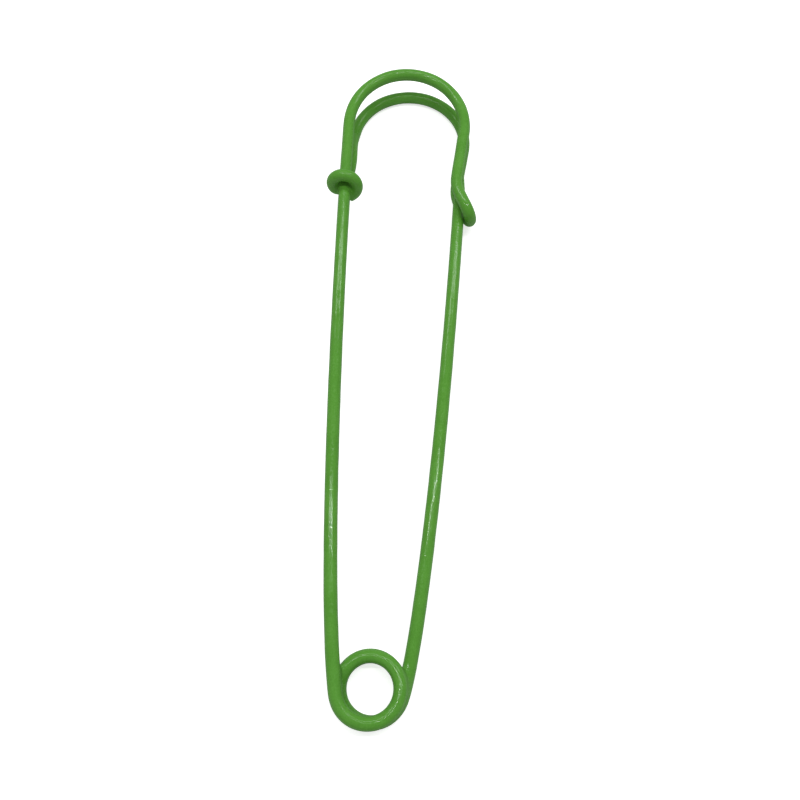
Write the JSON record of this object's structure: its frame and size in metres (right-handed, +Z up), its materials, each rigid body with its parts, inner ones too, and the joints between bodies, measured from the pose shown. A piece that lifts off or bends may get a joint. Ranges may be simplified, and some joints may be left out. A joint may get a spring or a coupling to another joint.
{
  "type": "safety pin",
  "caption": "Large closed safety pin bent from round wire, with a sprung coil, a doubled arch for a head, a folded catch and a guard eye round its fixed arm, coated green.",
  "frame": {"origin": "on the table, under the middle of the whole pin", "axes": "+Y along the pin from the coil to the head, +X from the fixed arm to the pin arm, +Z up from the table through the thickness of the pin"},
  "size_m": [0.0318, 0.138, 0.0109],
  "materials": {
    "green_coat": "leaf green paint, half gloss, with a fine orange-peel grain"
  },
  "bodies": {
    "head_and_coil": {"coil_spring": "green_coat", "fixed_arm": "green_coat", "fixed_arm_head_half": "green_coat", "front_bow": "green_coat", "catch_leg_front": "green_coat", "catch_fold": "green_coat", "catch_leg_rear": "green_coat", "rear_bow": "green_coat", "guard_leg": "green_coat", "guard_eye": "green_coat"},
    "spring_leg": {"spring_leg": "green_coat"},
    "pin_arm": {"pin_arm": "green_coat", "pin_arm_point_half": "green_coat"}
  },
  "joints": [
    {"name": "pin_swing", "type": "hinge", "parent": "head_and_coil", "child": "spring_leg", "pos_m": [-0.00485, -0.06229, 0.001], "axis": [0, 0, 1], "range_deg": [0, 10], "stiffness_Nm_per_rad": 1.5, "springref_deg": -4.01},
    {"name": "pin_lift", "type": "hinge", "parent": "spring_leg", "child": "pin_arm", "pos_m": [0.00268, -0.05541, 0.00139], "axis": [1, 0, 0], "range_deg": [0, 3.5]}
  ],
  "couplings": [
    {"joint": "pin_lift", "follows": "pin_swing", "ratio": 0.35}
  ]
}
